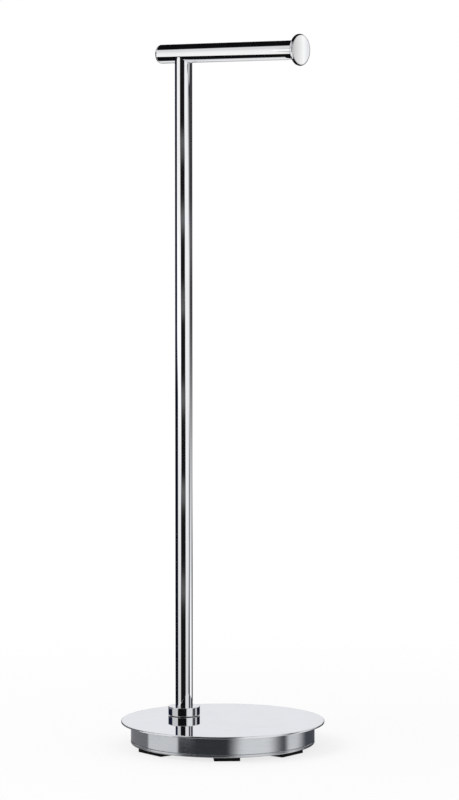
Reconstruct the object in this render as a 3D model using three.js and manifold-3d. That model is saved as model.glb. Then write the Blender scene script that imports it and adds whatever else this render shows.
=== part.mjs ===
// Freestanding toilet paper holder: a weighted round base, an off-centre pole and one short arm.
// Millimetres, +Z up. The floor is z = 0, the middle of the round base is x = y = 0,
// and the arm points along +X, so y = 0 is the plane of symmetry.

import * as THREE from 'three';
import { mergeVertices } from 'three/addons/utils/BufferGeometryUtils.js';
import Module from 'manifold-3d';

const wasm = await Module();
wasm.setup();

// Base: the drum's diameter drives it, and the top plate stands out round the drum
const drumDiameter = 190;
const plateOverhang = 10;
const plateThickness = 2;
const plateEdgeRadius = 0.5;
const skirtWall = 1.5;
const skirtHeight = 18;
const bottomPlateThickness = 3;
const bottomPlateEdgeRadius = 1;
const weightThickness = 14;
const weightRimClearance = 0.5;
const weightLedgeDepth = 6;
const weightEdgeChamfer = 1;

// Feet: one pad lies on the plane of symmetry and the others lie in mirrored pairs (places and skew in degrees)
const armSidePadLength = 35.5;
const frontPadLength = 26.5;
const frontPadPlace = 49.4;
const sidePadLength = 38;
const sidePadPlace = 108.5;
const sidePadSkew = 5;
const rearPadLength = 34;
const rearPadPlace = 154.3;
const padWidth = 20;
const padHeight = 4;
const padRimInset = 4.5;
const padCornerRadius = 1.5;
const padStemDiameter = 6;

// Studs that hold the weight to the top plate
const studCount = 4;
const studRimInset = 25;
const studDiameter = 6;
const studWeldCollarDiameter = 8;
const studWeldCollarHeight = 1;
const studTail = 1;
const studWasherDiameter = 12;
const studPocketClearance = 2;

// Screws that hold the bottom plate to the weight
const screwCount = 3;
const screwPadGap = 5.5;
const screwDiameter = 5;
const screwHeadDiameter = 10;
const screwHeadHeight = 2.6;
const screwLength = 12;
const screwSlotWidth = 1.2;
const screwSlotDepth = 1.2;
const screwBossWall = 4.5;

// Pole and foot: the pole's axis stands in from the drum's side
const poleDiameter = 18;
const poleWall = 1;
const poleRimInset = 44;
const collarDiameter = 32.8;
const collarHeight = 9;
const collarFloor = 3;
const collarEdgeRadius = 0.4;
const footWasherDiameter = 30;
const footWasherThickness = 0.5;
const footBushLength = 22;
const topBushLength = 24;

// Tie rod that clamps arm, pole, collar, plate and weight together
const tieRodDiameter = 6;
const tieRodTail = 1.2;
const tieRodReach = 4;
const tieWasherDiameter = 18;
const tiePocketClearance = 1;
const springWasherDiameter = 12;
const springWasherSplit = 1;
const washerThickness = 1.6;
const nutAcrossFlats = 10;
const nutHeight = 5;

// Arm
const armDiameter = 19.5;
const armWall = 1.2;
const armAxisHeight = 713.5;
const armRearOverhang = 31;
const armFrontReach = 151;
const capHeadThickness = 3;
const capEdgeRadius = 2.5;
const capSpigotLength = 8;
const crossNutLength = 18;

// Round disc at the front of the arm
const discDiameter = 32;
const discThickness = 4;
const discEdgeRadius = 1.5;
const discDome = 0.5;
const discBossDiameter = 12;
const discBossLength = 3;
const discStudDiameter = 5;
const discStudLength = 14;
const discStudSeat = 3.5;
const frontPlugLength = 14;

// Fits: a running or push fit, a clearance hole, and how far a cutter runs past what it cuts
const slideFit = 0.15;
const holeClearance = 0.3;
const cutOverrun = 1;

// Facets round a full turn, and steps in a quarter-round edge
const wideFacets = 72;
const tubeFacets = 36;
const smallFacets = 18;
const edgeSteps = 2;

// Heights, from the floor up
const bottomPlateFloor = padHeight;
const bottomPlateTop = bottomPlateFloor + bottomPlateThickness;
const plateFloor = bottomPlateTop + skirtHeight;
const plateTop = plateFloor + plateThickness;
const weightFloor = plateFloor - weightThickness;
const ledgeHeight = weightFloor + weightLedgeDepth;
const collarBottom = plateTop + footWasherThickness;
const collarTop = collarBottom + collarHeight;
const poleBottom = collarBottom + collarFloor;

// Radii and places that follow from the driving sizes
const drumRadius = drumDiameter / 2;
const plateRadius = drumRadius + plateOverhang;
const skirtBore = drumRadius - skirtWall;
const weightRadius = skirtBore - weightRimClearance;
const poleX = poleRimInset - drumRadius;
const poleRadius = poleDiameter / 2;
const poleBore = poleRadius - poleWall;
const armRadius = armDiameter / 2;
const armBore = armRadius - armWall;
const rodRadius = tieRodDiameter / 2;
const rodHole = rodRadius + holeClearance;
const washerTop = ledgeHeight;
const washerBottom = washerTop - washerThickness;
const springWasherBottom = washerBottom - washerThickness;
const tieNutBottom = springWasherBottom - nutHeight;
const studNutBottom = washerBottom - nutHeight;
const armRear = poleX - armRearOverhang;
const armFront = poleX + armFrontReach;
const discBack = armFront - discThickness;
const armTubeRear = armRear + capHeadThickness;
const armTubeFront = discBack;

const materials = {
  mirrorChrome: { color: 0xe6e8eb, roughness: 0.05, metalness: 1 },
  brushedSteel: { color: 0xb4b7ba, roughness: 0.32, metalness: 1 },
  castIron: { color: 0x2b2c2e, roughness: 0.7, metalness: 0.2 },
  zincSteel: { color: 0xa9adb3, roughness: 0.4, metalness: 0.9 },
  blackRubber: { color: 0x101011, roughness: 0.85, metalness: 0 },
  blackNylon: { color: 0x0c0c0e, roughness: 0.5, metalness: 0 },
};

// A closed geometry as a solid: only positions are left, its shared corners are merged
// and the flat triangles that a turned profile has on its axis are dropped.
function toSolid(geometry) {
  const bare = geometry.index ? geometry.toNonIndexed() : geometry.clone();
  bare.deleteAttribute('normal');
  bare.deleteAttribute('uv');
  const merged = mergeVertices(bare);
  const corners = Array.from(merged.index.array);
  const kept = [];
  for (let start = 0; start < corners.length; start += 3) {
    const [a, b, c] = corners.slice(start, start + 3);
    if (a !== b && b !== c && c !== a) {
      kept.push(a, b, c);
    }
  }
  return new wasm.Manifold(new wasm.Mesh({
    numProp: 3,
    vertProperties: Float32Array.from(merged.attributes.position.array),
    triVerts: Uint32Array.from(kept),
  }));
}

function toGeometry(solid) {
  const mesh = solid.getMesh();
  const geometry = new THREE.BufferGeometry();
  geometry.setAttribute('position', new THREE.BufferAttribute(Float32Array.from(mesh.vertProperties), 3));
  geometry.setIndex(new THREE.BufferAttribute(Uint32Array.from(mesh.triVerts), 1));
  geometry.computeVertexNormals();
  return geometry;
}

function cut(geometry, tools) {
  let solid = toSolid(geometry);
  for (const tool of tools) {
    solid = solid.subtract(toSolid(tool));
  }
  return toGeometry(solid);
}

function joined(geometry, additions) {
  let solid = toSolid(geometry);
  for (const addition of additions) {
    solid = solid.add(toSolid(addition));
  }
  return toGeometry(solid);
}

// Points of a quarter-round edge about (radius, height), with its turn given in quarter turns
function edgeArc(radius, height, edgeRadius, firstQuarter) {
  const points = [];
  for (let step = 0; step <= edgeSteps; step += 1) {
    const angle = (firstQuarter + step / edgeSteps) * Math.PI / 2;
    points.push([radius + edgeRadius * Math.cos(angle), height + edgeRadius * Math.sin(angle)]);
  }
  return points;
}

// A profile of [radius, height] points turned about the Z axis
function turned(profile, facets) {
  const points = profile.map(([radius, height]) => new THREE.Vector2(radius, height));
  return new THREE.LatheGeometry(points, facets).rotateX(Math.PI / 2);
}

function roundBar(radius, bottom, top, facets) {
  return turned([[0, bottom], [radius, bottom], [radius, top], [0, top]], facets);
}

function ring(innerRadius, outerRadius, bottom, top, facets) {
  return turned([
    [innerRadius, bottom],
    [outerRadius, bottom],
    [outerRadius, top],
    [innerRadius, top],
    [innerRadius, bottom],
  ], facets);
}

function hexNut(acrossFlats, holeRadius, height) {
  const cornerRadius = acrossFlats / Math.sqrt(3);
  const outline = new THREE.Shape();
  for (let corner = 0; corner < 6; corner += 1) {
    const angle = corner * Math.PI / 3;
    const place = [cornerRadius * Math.cos(angle), cornerRadius * Math.sin(angle)];
    if (corner === 0) {
      outline.moveTo(...place);
    } else {
      outline.lineTo(...place);
    }
  }
  outline.closePath();
  const hole = new THREE.Path();
  hole.absarc(0, 0, holeRadius, 0, 2 * Math.PI, true);
  outline.holes.push(hole);
  return new THREE.ExtrudeGeometry(outline, {
    depth: height,
    bevelEnabled: false,
    curveSegments: smallFacets / 2,
  });
}

function roundedBlock(length, width, height, cornerRadius) {
  const halfLength = length / 2;
  const halfWidth = width / 2;
  const outline = new THREE.Shape();
  outline.moveTo(halfWidth - cornerRadius, -halfLength);
  outline.absarc(halfWidth - cornerRadius, cornerRadius - halfLength, cornerRadius, -Math.PI / 2, 0, false);
  outline.absarc(halfWidth - cornerRadius, halfLength - cornerRadius, cornerRadius, 0, Math.PI / 2, false);
  outline.absarc(cornerRadius - halfWidth, halfLength - cornerRadius, cornerRadius, Math.PI / 2, Math.PI, false);
  outline.absarc(cornerRadius - halfWidth, cornerRadius - halfLength, cornerRadius, Math.PI, 1.5 * Math.PI, false);
  return new THREE.ExtrudeGeometry(outline, {
    depth: height,
    bevelEnabled: false,
    curveSegments: edgeSteps,
  });
}

// Places on a circle about the base's middle, the first one turned from +X by a part of a step
function placesOnCircle(count, radius, stepShare) {
  const places = [];
  for (let index = 0; index < count; index += 1) {
    const angle = (index + stepShare) * 2 * Math.PI / count;
    places.push({ angle, x: radius * Math.cos(angle), y: radius * Math.sin(angle) });
  }
  return places;
}

const padCentreRadius = drumRadius - padRimInset - padWidth / 2;
const studCircleRadius = drumRadius - studRimInset;
const screwCircleRadius = padCentreRadius - padWidth / 2 - screwPadGap - screwHeadDiameter / 2;
const padPlaces = [
  { place: 0, skew: 0, length: armSidePadLength },
  { place: frontPadPlace, skew: 0, length: frontPadLength },
  { place: sidePadPlace, skew: -sidePadSkew, length: sidePadLength },
  { place: rearPadPlace, skew: 0, length: rearPadLength },
  { place: -rearPadPlace, skew: 0, length: rearPadLength },
  { place: -sidePadPlace, skew: sidePadSkew, length: sidePadLength },
  { place: -frontPadPlace, skew: 0, length: frontPadLength },
].map(({ place, skew, length }) => {
  const angle = THREE.MathUtils.degToRad(place);
  const facing = THREE.MathUtils.degToRad(place + skew);
  return { facing, length, x: padCentreRadius * Math.cos(angle), y: padCentreRadius * Math.sin(angle) };
});
const studPlaces = placesOnCircle(studCount, studCircleRadius, 1 / 2);
const screwPlaces = placesOnCircle(screwCount, screwCircleRadius, 0);

const holder = new THREE.Group();
const baseGroup = new THREE.Group();
const postGroup = new THREE.Group();
const armGroup = new THREE.Group();
postGroup.position.x = poleX;
armGroup.position.z = armAxisHeight;
armGroup.rotation.y = Math.PI / 2;
postGroup.add(armGroup);
holder.add(baseGroup, postGroup);

function addPiece(group, name, geometry, materialName) {
  const mesh = new THREE.Mesh(geometry, new THREE.MeshStandardMaterial(materials[materialName]));
  mesh.name = name;
  group.add(mesh);
  return mesh;
}

// Base: mirror-bright top plate with a rounded rim and one hole for the tie rod
function topPlate() {
  const rim = plateRadius - plateEdgeRadius;
  const blank = turned([
    [0, plateFloor],
    ...edgeArc(rim, plateFloor + plateEdgeRadius, plateEdgeRadius, -1),
    ...edgeArc(rim, plateTop - plateEdgeRadius, plateEdgeRadius, 0),
    [0, plateTop],
  ], wideFacets);
  const rodCutter = roundBar(rodHole, plateFloor - cutOverrun, plateTop + cutOverrun, smallFacets);
  return cut(blank, [rodCutter.translate(poleX, 0, 0)]);
}

// Drum skirt: a plain band of sheet between the two plates
function skirt() {
  return ring(skirtBore, drumRadius, bottomPlateTop, plateFloor, wideFacets);
}

// Weight: a cast disc with stepped pockets for the nuts and bosses for the bottom screws
function weight() {
  const chamfered = weightRadius - weightEdgeChamfer;
  const disc = turned([
    [0, weightFloor],
    [chamfered, weightFloor],
    [weightRadius, weightFloor + weightEdgeChamfer],
    [weightRadius, plateFloor - weightEdgeChamfer],
    [chamfered, plateFloor],
    [0, plateFloor],
  ], wideFacets);
  const bossRadius = screwDiameter / 2 + screwBossWall;
  const bosses = screwPlaces.map(({ x, y }) => (
    roundBar(bossRadius, bottomPlateTop, weightFloor + weightEdgeChamfer, smallFacets).translate(x, y, 0)
  ));
  const pocketFloor = weightFloor - cutOverrun;
  const drillTop = plateFloor + cutOverrun;
  const tiePocket = tieWasherDiameter / 2 + tiePocketClearance;
  const studPocket = studWasherDiameter / 2 + studPocketClearance;
  const studHole = studDiameter / 2 + holeClearance;
  const studRelief = studWeldCollarDiameter / 2 + holeClearance;
  const reliefFloor = plateFloor - studWeldCollarHeight - holeClearance;
  const screwHole = screwDiameter / 2 + holeClearance;
  const screwTip = bottomPlateFloor + screwLength + holeClearance;
  const cutters = [
    roundBar(rodHole, pocketFloor, drillTop, smallFacets).translate(poleX, 0, 0),
    roundBar(tiePocket, pocketFloor, ledgeHeight, smallFacets).translate(poleX, 0, 0),
  ];
  for (const { x, y } of studPlaces) {
    cutters.push(roundBar(studHole, pocketFloor, drillTop, smallFacets).translate(x, y, 0));
    cutters.push(roundBar(studPocket, pocketFloor, ledgeHeight, smallFacets).translate(x, y, 0));
    cutters.push(roundBar(studRelief, reliefFloor, drillTop, smallFacets).translate(x, y, 0));
  }
  for (const { x, y } of screwPlaces) {
    cutters.push(roundBar(screwHole, bottomPlateTop - cutOverrun, screwTip, smallFacets).translate(x, y, 0));
  }
  return cut(joined(disc, bosses), cutters);
}

// Bottom plate: closes the drum, with countersinks for its screws and holes for the pads' stems
function bottomPlate() {
  const rim = drumRadius - bottomPlateEdgeRadius;
  const blank = turned([
    [0, bottomPlateFloor],
    ...edgeArc(rim, bottomPlateFloor + bottomPlateEdgeRadius, bottomPlateEdgeRadius, -1),
    [drumRadius, bottomPlateTop],
    [0, bottomPlateTop],
  ], wideFacets);
  const shank = screwDiameter / 2 + holeClearance;
  const head = screwHeadDiameter / 2 + holeClearance;
  const countersink = turned([
    [0, bottomPlateFloor - cutOverrun],
    [head, bottomPlateFloor - cutOverrun],
    [head, bottomPlateFloor],
    [shank, bottomPlateFloor + screwHeadHeight],
    [shank, bottomPlateTop + cutOverrun],
    [0, bottomPlateTop + cutOverrun],
  ], smallFacets);
  const stemHole = padStemDiameter / 2 + holeClearance;
  const stemCutter = roundBar(stemHole, bottomPlateFloor - cutOverrun, bottomPlateTop + cutOverrun, smallFacets);
  return cut(blank, [
    ...screwPlaces.map(({ x, y }) => countersink.clone().translate(x, y, 0)),
    ...padPlaces.map(({ x, y }) => stemCutter.clone().translate(x, y, 0)),
  ]);
}

// Rubber pad: a flat block with a stem that keys it into the bottom plate
function pad(length) {
  const block = roundedBlock(length, padWidth, padHeight, padCornerRadius);
  const stem = roundBar(padStemDiameter / 2, padHeight / 2, bottomPlateTop, smallFacets);
  return joined(block, [stem]);
}

// Weld stud: a plain shank with a low weld collar against the plate
function weldStud() {
  const shank = studDiameter / 2;
  const collar = studWeldCollarDiameter / 2;
  const collarFloorHeight = plateFloor - studWeldCollarHeight;
  return turned([
    [0, studNutBottom - studTail],
    [shank, studNutBottom - studTail],
    [shank, collarFloorHeight],
    [collar, collarFloorHeight],
    [collar, plateFloor],
    [0, plateFloor],
  ], smallFacets);
}

// Countersunk screw with one straight slot in its head
function bottomScrew() {
  const shank = screwDiameter / 2;
  const head = screwHeadDiameter / 2;
  const tip = bottomPlateFloor + screwLength;
  const body = turned([
    [0, bottomPlateFloor],
    [head, bottomPlateFloor],
    [shank, bottomPlateFloor + screwHeadHeight],
    [shank, tip],
    [0, tip],
  ], smallFacets);
  const slotLength = screwHeadDiameter + 2 * cutOverrun;
  const slot = new THREE.BoxGeometry(slotLength, screwSlotWidth, 2 * screwSlotDepth);
  return cut(body, [slot.translate(0, 0, bottomPlateFloor)]);
}

addPiece(baseGroup, 'base_top_plate', topPlate(), 'mirrorChrome');
addPiece(baseGroup, 'base_skirt', skirt(), 'brushedSteel');
addPiece(baseGroup, 'base_weight', weight(), 'castIron');
addPiece(baseGroup, 'base_bottom_plate', bottomPlate(), 'brushedSteel');

padPlaces.forEach(({ facing, length, x, y }, index) => {
  const piece = addPiece(baseGroup, `foot_pad_${index + 1}`, pad(length), 'blackRubber');
  piece.position.set(x, y, 0);
  piece.rotation.z = facing;
});

studPlaces.forEach(({ x, y }, index) => {
  const studWasherRadius = studWasherDiameter / 2;
  const studBore = studDiameter / 2 + holeClearance;
  const nut = hexNut(nutAcrossFlats, studBore, nutHeight).translate(0, 0, studNutBottom);
  const washer = ring(studBore, studWasherRadius, washerBottom, washerTop, smallFacets);
  addPiece(baseGroup, `weld_stud_${index + 1}`, weldStud(), 'zincSteel').position.set(x, y, 0);
  addPiece(baseGroup, `stud_washer_${index + 1}`, washer, 'zincSteel').position.set(x, y, 0);
  addPiece(baseGroup, `stud_nut_${index + 1}`, nut, 'zincSteel').position.set(x, y, 0);
});

screwPlaces.forEach(({ x, y }, index) => {
  addPiece(baseGroup, `bottom_screw_${index + 1}`, bottomScrew(), 'zincSteel').position.set(x, y, 0);
});

addPiece(
  baseGroup,
  'foot_washer',
  ring(rodHole, footWasherDiameter / 2, plateTop, collarBottom, tubeFacets),
  'blackNylon',
).position.x = poleX;

// Foot collar: a low round boss with a socket for the pole and a hole for the tie rod
function footCollar() {
  const rim = collarDiameter / 2 - collarEdgeRadius;
  const socket = poleRadius + slideFit;
  return turned([
    [rodHole, collarBottom],
    ...edgeArc(rim, collarBottom + collarEdgeRadius, collarEdgeRadius, -1),
    ...edgeArc(rim, collarTop - collarEdgeRadius, collarEdgeRadius, 0),
    [socket, collarTop],
    [socket, poleBottom],
    [rodHole, poleBottom],
    [rodHole, collarBottom],
  ], tubeFacets);
}

// The shape that copes the pole's top to the arm, with the clearance between them
function copeCutter() {
  const halfLength = poleDiameter;
  const cutter = roundBar(armRadius + holeClearance, -halfLength, halfLength, tubeFacets);
  return cutter.rotateY(Math.PI / 2).translate(0, 0, armAxisHeight);
}

function poleTube() {
  return cut(ring(poleBore, poleRadius, poleBottom, armAxisHeight, tubeFacets), [copeCutter()]);
}

function topBush() {
  const bottom = armAxisHeight - armRadius - topBushLength;
  return cut(ring(rodHole, poleBore - slideFit, bottom, armAxisHeight, tubeFacets), [copeCutter()]);
}

function footBush() {
  return ring(rodHole, poleBore - slideFit, poleBottom, poleBottom + footBushLength, tubeFacets);
}

function tieRod() {
  return roundBar(rodRadius, tieNutBottom - tieRodTail, armAxisHeight + tieRodReach, smallFacets);
}

// Spring washer: a flat ring with one narrow split
function springWasher() {
  const outer = springWasherDiameter / 2;
  const blank = ring(rodHole, outer, springWasherBottom, washerBottom, smallFacets);
  const gapLength = outer + cutOverrun;
  const gapHeight = washerThickness + 2 * cutOverrun;
  const gap = new THREE.BoxGeometry(gapLength, springWasherSplit, gapHeight);
  return cut(blank, [gap.translate(gapLength / 2, 0, (springWasherBottom + washerBottom) / 2)]);
}

const tieNut = hexNut(nutAcrossFlats, rodHole, nutHeight).translate(0, 0, tieNutBottom);
const tieWasher = ring(rodHole, tieWasherDiameter / 2, washerBottom, washerTop, tubeFacets);

addPiece(postGroup, 'foot_collar', footCollar(), 'mirrorChrome');
addPiece(postGroup, 'pole_tube', poleTube(), 'mirrorChrome');
addPiece(postGroup, 'pole_foot_bush', footBush(), 'zincSteel');
addPiece(postGroup, 'pole_top_bush', topBush(), 'zincSteel');
addPiece(postGroup, 'tie_rod', tieRod(), 'zincSteel');
addPiece(postGroup, 'tie_washer', tieWasher, 'zincSteel');
addPiece(postGroup, 'tie_spring_washer', springWasher(), 'zincSteel');
addPiece(postGroup, 'tie_nut', tieNut, 'zincSteel');

// Arm pieces are turned about their own axis, measured from the pole towards the front
const tubeRearPlace = armTubeRear - poleX;
const tubeFrontPlace = armTubeFront - poleX;

// A hole for the tie rod through the arm's underside, up to a height above the arm's axis
function rodCutterInArm(reach) {
  return roundBar(rodHole, -reach, armDiameter, smallFacets).rotateY(Math.PI / 2);
}

function armTube() {
  return cut(ring(armBore, armRadius, tubeRearPlace, tubeFrontPlace, tubeFacets), [rodCutterInArm(0)]);
}

// Nut across the arm's bore that the tie rod screws into from below
function crossNut() {
  const halfLength = crossNutLength / 2;
  const blank = roundBar(armBore - slideFit, -halfLength, halfLength, tubeFacets);
  return cut(blank, [rodCutterInArm(tieRodReach + holeClearance)]);
}

// Rear cap: a round head with a softened edge, and a spigot that is pressed into the tube
function rearCap() {
  const head = tubeRearPlace - capHeadThickness;
  const spigot = armBore - slideFit;
  return turned([
    [0, head],
    ...edgeArc(armRadius - capEdgeRadius, head + capEdgeRadius, capEdgeRadius, -1),
    [armRadius, tubeRearPlace],
    [spigot, tubeRearPlace],
    [spigot, tubeRearPlace + capSpigotLength],
    [0, tubeRearPlace + capSpigotLength],
  ], tubeFacets);
}

// Front plug: pressed into the tube behind the disc's boss, tapped for the disc's stud
function frontPlug() {
  const front = tubeFrontPlace - discBossLength - holeClearance;
  const stud = discStudDiameter / 2 + holeClearance;
  return ring(stud, armBore - slideFit, front - frontPlugLength, front, tubeFacets);
}

// End disc: a slightly domed face with a rounded rim, and a boss at the back that takes the stud
function endDisc() {
  const radius = discDiameter / 2;
  const rim = radius - discEdgeRadius;
  const back = tubeFrontPlace;
  const domeStart = back + discThickness - discDome;
  const stud = discStudDiameter / 2 + holeClearance;
  const boss = discBossDiameter / 2;
  const dome = [];
  for (let step = 1; step <= edgeSteps; step += 1) {
    const share = step / edgeSteps;
    dome.push([rim * (1 - share), domeStart + discDome * (1 - (1 - share) ** 2)]);
  }
  return turned([
    [0, back - discBossLength + discStudSeat],
    [stud, back - discBossLength + discStudSeat],
    [stud, back - discBossLength],
    [boss, back - discBossLength],
    [boss, back],
    ...edgeArc(rim, back + discEdgeRadius, discEdgeRadius, -1),
    ...edgeArc(rim, domeStart - discEdgeRadius, discEdgeRadius, 0),
    ...dome,
  ], tubeFacets);
}

function discStud() {
  const front = tubeFrontPlace - discBossLength + discStudSeat - holeClearance;
  return roundBar(discStudDiameter / 2, front - discStudLength, front, smallFacets);
}

addPiece(armGroup, 'arm_tube', armTube(), 'mirrorChrome');
addPiece(armGroup, 'arm_cross_nut', crossNut(), 'zincSteel');
addPiece(armGroup, 'arm_rear_cap', rearCap(), 'mirrorChrome');
addPiece(armGroup, 'arm_front_plug', frontPlug(), 'zincSteel');
addPiece(armGroup, 'end_disc', endDisc(), 'mirrorChrome');
addPiece(armGroup, 'end_disc_stud', discStud(), 'zincSteel');

export default holder;
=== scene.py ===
from math import cos, pi, radians, sin

import bmesh
import bpy
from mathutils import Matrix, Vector


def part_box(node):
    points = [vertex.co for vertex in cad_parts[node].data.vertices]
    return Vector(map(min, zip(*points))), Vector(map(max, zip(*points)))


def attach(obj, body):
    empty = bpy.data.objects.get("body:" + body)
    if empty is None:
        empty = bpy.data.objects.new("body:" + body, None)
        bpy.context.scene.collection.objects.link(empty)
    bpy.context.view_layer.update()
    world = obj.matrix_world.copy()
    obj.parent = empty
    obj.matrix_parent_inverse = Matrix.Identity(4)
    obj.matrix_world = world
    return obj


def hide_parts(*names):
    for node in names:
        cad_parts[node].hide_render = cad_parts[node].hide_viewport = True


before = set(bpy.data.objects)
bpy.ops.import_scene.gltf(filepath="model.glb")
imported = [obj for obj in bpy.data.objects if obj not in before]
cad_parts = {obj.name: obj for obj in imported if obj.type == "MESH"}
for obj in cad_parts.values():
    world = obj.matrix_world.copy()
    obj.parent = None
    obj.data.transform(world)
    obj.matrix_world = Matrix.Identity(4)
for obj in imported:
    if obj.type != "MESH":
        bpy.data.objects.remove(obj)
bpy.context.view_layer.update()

# Metres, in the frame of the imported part: floor at z = 0, base's middle at x = y = 0, arm along +X.
mm = 0.001
hair = 0.001 * mm  # points nearer than this count as level, or as one above the other
post = {"x": -51 * mm, "armAxis": 713.5 * mm}  # where the pole stands, and how high the arm lies
rodHole = 3.3 * mm
armMiddle, alongArm = (post["x"], 0, post["armAxis"]), (0, -pi / 2, 0)  # for patterns that run round the arm


def say(words):
    print("[holder] " + words)


# Working by hand, in code
def dropSelection():
    if bpy.context.object and bpy.context.object.mode != "OBJECT":
        bpy.ops.object.mode_set(mode="OBJECT")
    bpy.ops.object.select_all(action="DESELECT")


def work(piece, mode="OBJECT"):  # makes one piece the only one that operators act on
    dropSelection()
    piece.select_set(True)
    bpy.context.view_layer.objects.active = piece
    if mode == "EDIT":
        bpy.ops.object.mode_set(mode="EDIT")


def newest(name):
    piece = bpy.context.object
    piece.name = name
    piece.data.name = name
    return piece


def bakePlace():  # the piece in hand keeps its looks, with its origin at 0 and no turn or scale
    bpy.ops.object.transform_apply(location=True, rotation=True, scale=True)


def pick(piece, kind, test):  # selects the faces that pass a test on middle and normal, or edges by their two ends
    bpy.ops.mesh.select_mode(type=kind)
    bpy.ops.mesh.select_all(action="DESELECT")
    mesh = bmesh.from_edit_mesh(piece.data)
    if kind == "FACE":
        for face in mesh.faces:
            if test(face.calc_center_median(), face.normal):
                face.select_set(True)
    else:
        for edge in mesh.edges:
            if test(edge.verts[0].co, edge.verts[1].co):
                edge.select_set(True)
    mesh.select_flush_mode()
    bmesh.update_edit_mesh(piece.data)


def isLevel(a, b):
    return abs(a.z - b.z) < hair


def isUpright(a, b):
    return (a - b).xy.length < hair


def roundEdges(width, steps):
    bpy.ops.mesh.bevel(offset=width, segments=steps, profile=0.5, affect="EDGES")


def moveCorners(piece, place):  # puts every corner where a function of its old place says
    work(piece, "EDIT")
    mesh = bmesh.from_edit_mesh(piece.data)
    for vert in mesh.verts:
        vert.co = place(vert.co)
    bmesh.update_edit_mesh(piece.data)
    dropSelection()


def applyStep(piece, kind, **settings):  # one modifier, set and applied
    work(piece)
    bpy.ops.object.modifier_add(type=kind)
    step = piece.modifiers[-1]
    for key, value in settings.items():
        setattr(step, key, value)
    bpy.ops.object.modifier_apply(modifier=step.name)


def combine(piece, tool, operation="DIFFERENCE"):  # boolean with a tool that is then thrown away
    applyStep(piece, "BOOLEAN", operation=operation, solver="EXACT", object=tool)
    bpy.data.objects.remove(tool, do_unlink=True)


def turn(name, outline, sides, place=(0, 0, 0)):  # outline of (radius, height) spun about an upright axis
    dropSelection()
    bpy.ops.mesh.primitive_plane_add(size=1 * mm, location=(0, 0, 0))
    piece = newest(name)
    work(piece, "EDIT")
    bpy.ops.mesh.select_mode(type="VERT")
    bpy.ops.mesh.select_all(action="SELECT")
    bpy.ops.mesh.merge(type="CENTER")
    radius, height = outline[0]
    bpy.ops.transform.translate(value=(radius, 0, height))
    for nextRadius, nextHeight in outline[1:]:
        step = (nextRadius - radius, 0, nextHeight - height)
        bpy.ops.mesh.extrude_vertices_move(TRANSFORM_OT_translate={"value": step})
        radius, height = nextRadius, nextHeight
    bpy.ops.mesh.select_all(action="SELECT")
    bpy.ops.mesh.spin(steps=sides, angle=2 * pi, center=(0, 0, 0), axis=(0, 0, 1))
    bpy.ops.mesh.select_all(action="SELECT")
    bpy.ops.mesh.remove_doubles(threshold=2 * hair)
    bpy.ops.mesh.normals_make_consistent(inside=False)
    bpy.ops.mesh.select_all(action="SELECT")
    bpy.ops.transform.translate(value=place)
    dropSelection()
    return piece


def arcPoints(centre, radius, first, last, steps):  # points of an arc in an outline, angles in degrees from outwards
    points = []
    for step in range(steps + 1):
        angle = radians(first + (last - first) * step / steps)
        points.append((centre[0] + radius * cos(angle), centre[1] + radius * sin(angle)))
    return points


def drill(name, radius, low, high, place=(0, 0, 0), sides=48):
    return turn(name, [(0, low), (radius, low), (radius, high), (0, high)], sides, place)


def layAlongArm(piece):  # lays an upright piece along +X, with its foot at the pole's axis
    moveCorners(piece, lambda old: (old.z + post["x"], old.y, post["armAxis"] - old.x))


def addBlock(name, size, middle):
    dropSelection()
    bpy.ops.mesh.primitive_cube_add(size=1.0, location=middle)
    piece = newest(name)
    piece.scale = size
    bakePlace()
    return piece


def copyOf(blank, name, place, angle=0.0):  # a repeated piece, with a mesh of its own
    piece = bpy.data.objects.new(name, blank.data.copy())
    bpy.context.scene.collection.objects.link(piece)
    piece.location = place
    piece.rotation_euler = (0, 0, radians(angle))
    return piece


def placesRound(circle, count):
    return [(circle * cos(2 * pi * index / count), circle * sin(2 * pi * index / count)) for index in range(count)]


def finishPiece(piece, body, material, nodes, smooth=32):
    work(piece)
    bakePlace()
    bpy.ops.object.shade_smooth_by_angle(angle=radians(smooth))
    piece.data.materials.clear()
    piece.data.materials.append(material)
    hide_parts(*nodes)
    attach(piece, body)
    dropSelection()
    say(piece.name + ": " + str(len(piece.data.polygons)) + " faces")


# Nodes for materials and sky
number, vector = "NodeSocketFloat", "NodeSocketVector"


def fill(tree, target, value):  # links a socket to a source, or sets its value
    if isinstance(value, bpy.types.NodeSocket):
        tree.links.new(value, target)
    else:
        target.default_value = value


def node(tree, kind, links=(), **values):  # adds a node, sets its settings and fills its inputs
    made = tree.nodes.new(kind)
    for key, value in values.items():
        setattr(made, key, value)
    for socket, source in dict(links).items():
        fill(tree, made.inputs[socket], source)
    return made


def calc(tree, operation, *values):
    return node(tree, "ShaderNodeMath", dict(enumerate(values)), operation=operation).outputs[0]


def rangeOf(tree, value, fromLow, fromHigh, toLow, toHigh, curve="LINEAR"):
    made = node(tree, "ShaderNodeMapRange", {0: value, 1: fromLow, 2: fromHigh, 3: toLow, 4: toHigh},
                interpolation_type=curve)
    return made.outputs[0]


def blendColour(tree, factor, first, second, kind="MIX"):
    links = {0: factor, 6: first, 7: second}  # the inputs of a colour blend
    return node(tree, "ShaderNodeMix", links, data_type="RGBA", blend_type=kind).outputs[2]


def shaded(tree, tone, shade):  # a colour times a grey
    grey = node(tree, "ShaderNodeCombineColor", {0: shade, 1: shade, 2: shade}).outputs[0]
    return blendColour(tree, 1.0, tone, grey, "MULTIPLY")


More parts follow.
